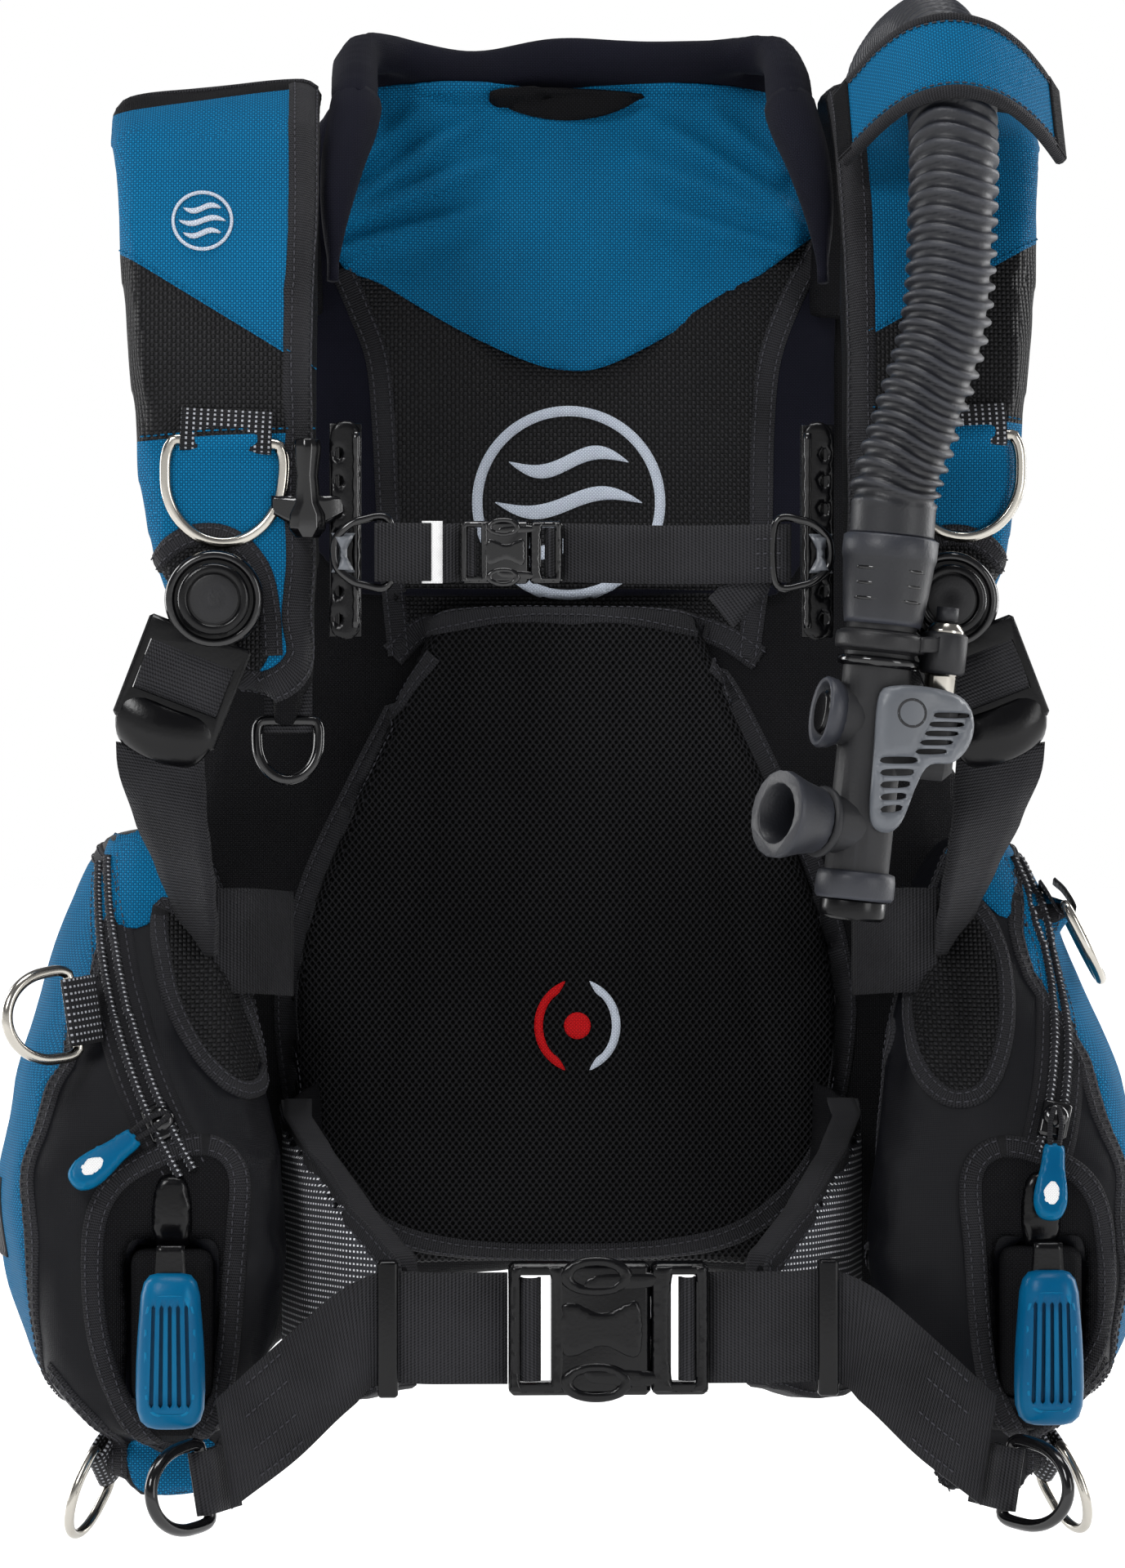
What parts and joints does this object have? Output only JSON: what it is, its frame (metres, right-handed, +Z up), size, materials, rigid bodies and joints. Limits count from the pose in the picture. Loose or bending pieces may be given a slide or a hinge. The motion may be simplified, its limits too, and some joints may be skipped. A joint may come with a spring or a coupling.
{
  "type": "buoyancy compensator vest",
  "caption": "Scuba diver's jacket-style buoyancy vest with air cell, padded harness, hip pockets, weight pouches, tank band, corrugated hose and inflator.",
  "frame": {"origin": "centre of the backpack's flat tank seat, where the cylinder's wall rests, at mid height", "axes": "+Z up towards the wearer's head, +Y backwards from the seat towards the cylinder, +X to the wearer's left"},
  "size_m": [0.5096, 0.5073, 0.6925],
  "materials": {
    "blue_cloth": "petrol blue nylon cloth",
    "black_cloth": "black nylon cloth",
    "mesh_cloth": "black spacer mesh",
    "collar_cloth": "smooth neoprene collar and blue cloth panel",
    "webbing": "black woven webbing",
    "black_plastic": "satin black moulding",
    "gloss_plastic": "glossy black moulding",
    "blue_plastic": "satin blue moulding",
    "rubber": "charcoal rubber",
    "steel": "polished stainless steel"
  },
  "bodies": {
    "harness": {"air_cell": "blue_cloth", "back_panel": "collar_cloth", "back_pad": "mesh_cloth", "backpack": "black_plastic", "grab_handle": "rubber", "tank_band": "webbing", "cam_buckle": "black_plastic", "corrugated_hose": "rubber", "hose_elbow": "black_plastic", "dump_valve": "gloss_plastic", "waist_socket": "black_plastic", "shoulder_lobe_right": "blue_cloth", "sternum_rail_right": "gloss_plastic", "swivel_base_right": "black_plastic", "adjuster_strap_right": "webbing", "hip_wing_right": "black_cloth", "side_pocket_right": "blue_cloth", "waist_strap_right": "webbing", "shoulder_lobe_left": "blue_cloth", "sternum_rail_left": "gloss_plastic", "swivel_base_left": "black_plastic", "adjuster_strap_left": "webbing", "hip_wing_left": "black_cloth", "side_pocket_left": "blue_cloth", "waist_strap_left": "webbing"},
    "cam_lever": {"cam_lever": "black_plastic"},
    "ladder_lock_right": {"ladder_lock_right": "black_plastic"},
    "ladder_lock_left": {"ladder_lock_left": "black_plastic"},
    "shoulder_ring_right": {"shoulder_ring_right": "steel"},
    "shoulder_ring_left": {"shoulder_ring_left": "steel"},
    "chest_ring_right": {"chest_ring_right": "gloss_plastic"},
    "chest_ring_left": {"chest_ring_left": "gloss_plastic"},
    "pocket_ring_right": {"pocket_ring_right": "steel"},
    "pocket_ring_left": {"pocket_ring_left": "steel"},
    "hem_ring_right": {"hem_ring_right": "steel"},
    "hem_ring_left": {"hem_ring_left": "steel"},
    "belt_ring_right": {"belt_ring_right": "black_plastic"},
    "belt_ring_left": {"belt_ring_left": "black_plastic"},
    "chest_strap": {"sternum_strap_right": "webbing", "sternum_strap_left": "webbing", "sternum_socket": "black_plastic"},
    "sternum_plug": {"sternum_plug": "black_plastic"},
    "waist_plug": {"waist_plug": "black_plastic"},
    "belt_slider_right": {"belt_slider_right": "black_plastic"},
    "belt_slider_left": {"belt_slider_left": "black_plastic"},
    "weight_pouch_right": {"weight_pouch_right": "black_cloth", "pouch_grip_right": "blue_plastic"},
    "weight_pouch_left": {"weight_pouch_left": "black_cloth", "pouch_grip_left": "blue_plastic"},
    "zip_slider_right": {"zip_slider_right": "gloss_plastic"},
    "zip_pull_right": {"zip_pull_right": "blue_plastic"},
    "zip_slider_left": {"zip_slider_left": "gloss_plastic"},
    "zip_pull_left": {"zip_pull_left": "blue_plastic"},
    "inflator": {"inflator_body": "black_plastic", "mouthpiece": "rubber", "hose_coupling": "steel"},
    "inflate_button": {"inflate_button": "black_plastic"},
    "exhaust_button": {"exhaust_button": "rubber"},
    "dump_toggle": {"dump_toggle": "gloss_plastic"},
    "hose_flap": {"hose_flap": "blue_cloth"}
  },
  "joints": [
    {"name": "cam_lever_hinge", "type": "hinge", "parent": "harness", "child": "cam_lever", "pos_m": [0.024, 0.1983, 0.018], "axis": [0, 0, -1], "range_deg": [0, 110]},
    {"name": "shoulder_buckle_swivel_right", "type": "hinge", "parent": "harness", "child": "ladder_lock_right", "pos_m": [-0.16, -0.2355, 0.08], "axis": [0, 1, 0], "range_deg": [-20, 25]},
    {"name": "shoulder_buckle_swivel_left", "type": "hinge", "parent": "harness", "child": "ladder_lock_left", "pos_m": [0.16, -0.2355, 0.08], "axis": [0, -1, 0], "range_deg": [-20, 25]},
    {"name": "shoulder_ring_right_swing", "type": "hinge", "parent": "harness", "child": "shoulder_ring_right", "pos_m": [-0.155, -0.2287, 0.149], "axis": [-0.9988, 0, 0.0499], "range_deg": [0, 120]},
    {"name": "shoulder_ring_left_swing", "type": "hinge", "parent": "harness", "child": "shoulder_ring_left", "pos_m": [0.166, -0.2287, 0.152], "axis": [-0.9988, 0, -0.0499], "range_deg": [0, 12]},
    {"name": "chest_ring_right_swing", "type": "hinge", "parent": "harness", "child": "chest_ring_right", "pos_m": [-0.128, -0.217, 0.0275], "axis": [-1, 0, 0], "range_deg": [-30, 80]},
    {"name": "chest_ring_left_swing", "type": "hinge", "parent": "harness", "child": "chest_ring_left", "pos_m": [0.128, -0.217, 0.0275], "axis": [-1, 0, 0], "range_deg": [-30, 80]},
    {"name": "pocket_ring_right_swing", "type": "hinge", "parent": "harness", "child": "pocket_ring_right", "pos_m": [-0.222, -0.206, -0.1], "axis": [-0.14, 0, 0.9901], "range_deg": [-20, 40]},
    {"name": "pocket_ring_left_swing", "type": "hinge", "parent": "harness", "child": "pocket_ring_left", "pos_m": [0.222, -0.15, -0.056], "axis": [-0.1186, -0.988, 0.0988], "range_deg": [0, 60]},
    {"name": "hem_ring_right_swing", "type": "hinge", "parent": "harness", "child": "hem_ring_right", "pos_m": [-0.2095, -0.195, -0.3], "axis": [0.1823, 0.8102, -0.557], "range_deg": [-30, 30]},
    {"name": "hem_ring_left_swing", "type": "hinge", "parent": "harness", "child": "hem_ring_left", "pos_m": [0.2095, -0.195, -0.3], "axis": [0.1823, -0.8102, 0.557], "range_deg": [-30, 30]},
    {"name": "belt_ring_right_swing", "type": "hinge", "parent": "harness", "child": "belt_ring_right", "pos_m": [-0.1635, -0.2525, -0.301], "axis": [-0.1498, 0, 0.9887], "range_deg": [-25, 60]},
    {"name": "belt_ring_left_swing", "type": "hinge", "parent": "harness", "child": "belt_ring_left", "pos_m": [0.1835, -0.2525, -0.301], "axis": [-0.1498, 0, -0.9887], "range_deg": [-25, 60]},
    {"name": "chest_strap_height", "type": "slide", "parent": "harness", "child": "chest_strap", "axis": [0, 0, 1], "range_m": [-0.026, 0.045]},
    {"name": "sternum_buckle_release", "type": "slide", "parent": "chest_strap", "child": "sternum_plug", "axis": [1, 0, 0], "range_m": [0, 0.02], "deforming": ["sternum_strap_left"]},
    {"name": "waist_buckle_release", "type": "slide", "parent": "harness", "child": "waist_plug", "axis": [1, 0, 0], "range_m": [0, 0.03], "deforming": ["waist_strap_left"]},
    {"name": "belt_slider_travel_right", "type": "slide", "parent": "harness", "child": "belt_slider_right", "axis": [1, 0, 0], "range_m": [0, 0.015]},
    {"name": "belt_slider_travel_left", "type": "slide", "parent": "harness", "child": "belt_slider_left", "axis": [-1, 0, 0], "range_m": [0, 0.015]},
    {"name": "weight_pouch_pull_right", "type": "slide", "parent": "harness", "child": "weight_pouch_right", "axis": [0, -1, 0], "range_m": [0, 0.13]},
    {"name": "weight_pouch_pull_left", "type": "slide", "parent": "harness", "child": "weight_pouch_left", "axis": [0, -1, 0], "range_m": [0, 0.13]},
    {"name": "zip_travel_right", "type": "hinge", "parent": "harness", "child": "zip_slider_right", "pos_m": [0.09004, -0.16853, -0.035], "axis": [0, 0.9285, -0.3714], "range_deg": [0, 6.4]},
    {"name": "zip_pull_swing_right", "type": "hinge", "parent": "zip_slider_right", "child": "zip_pull_right", "pos_m": [-0.184, -0.2204, -0.14584], "axis": [0, -0.9285, 0.3714], "range_deg": [-30, 30]},
    {"name": "zip_travel_left", "type": "hinge", "parent": "harness", "child": "zip_slider_left", "pos_m": [0.01625, -0.19678, -0.10564], "axis": [0, -0.9285, 0.3714], "range_deg": [0, 35.7]},
    {"name": "zip_pull_swing_left", "type": "hinge", "parent": "zip_slider_left", "child": "zip_pull_left", "pos_m": [0.209, -0.2204, -0.14584], "axis": [0, -0.9285, 0.3714], "range_deg": [-30, 30]},
    {"name": "inflator_swing", "type": "hinge", "parent": "harness", "child": "inflator", "pos_m": [0.162, -0.2205, 0.3], "axis": [-1, 0, 0], "range_deg": [0, 45], "deforming": ["corrugated_hose"]},
    {"name": "inflate_button_press", "type": "slide", "parent": "inflator", "child": "inflate_button", "axis": [0.9659, 0.2016, -0.1623], "range_m": [0, 0.0035], "stiffness_N_per_m": 900},
    {"name": "exhaust_button_press", "type": "slide", "parent": "inflator", "child": "exhaust_button", "axis": [0.1045, 0, 0.9945], "range_m": [0, 0.0035], "stiffness_N_per_m": 900},
    {"name": "dump_toggle_pull", "type": "slide", "parent": "harness", "child": "dump_toggle", "axis": [0, 0, -1], "range_m": [0, 0.012], "stiffness_N_per_m": 400},
    {"name": "hose_flap_open", "type": "hinge", "parent": "harness", "child": "hose_flap", "pos_m": [0.1155, -0.20632, 0.28892], "axis": [0, -0.6157, -0.788], "range_deg": [0, 60]}
  ]
}
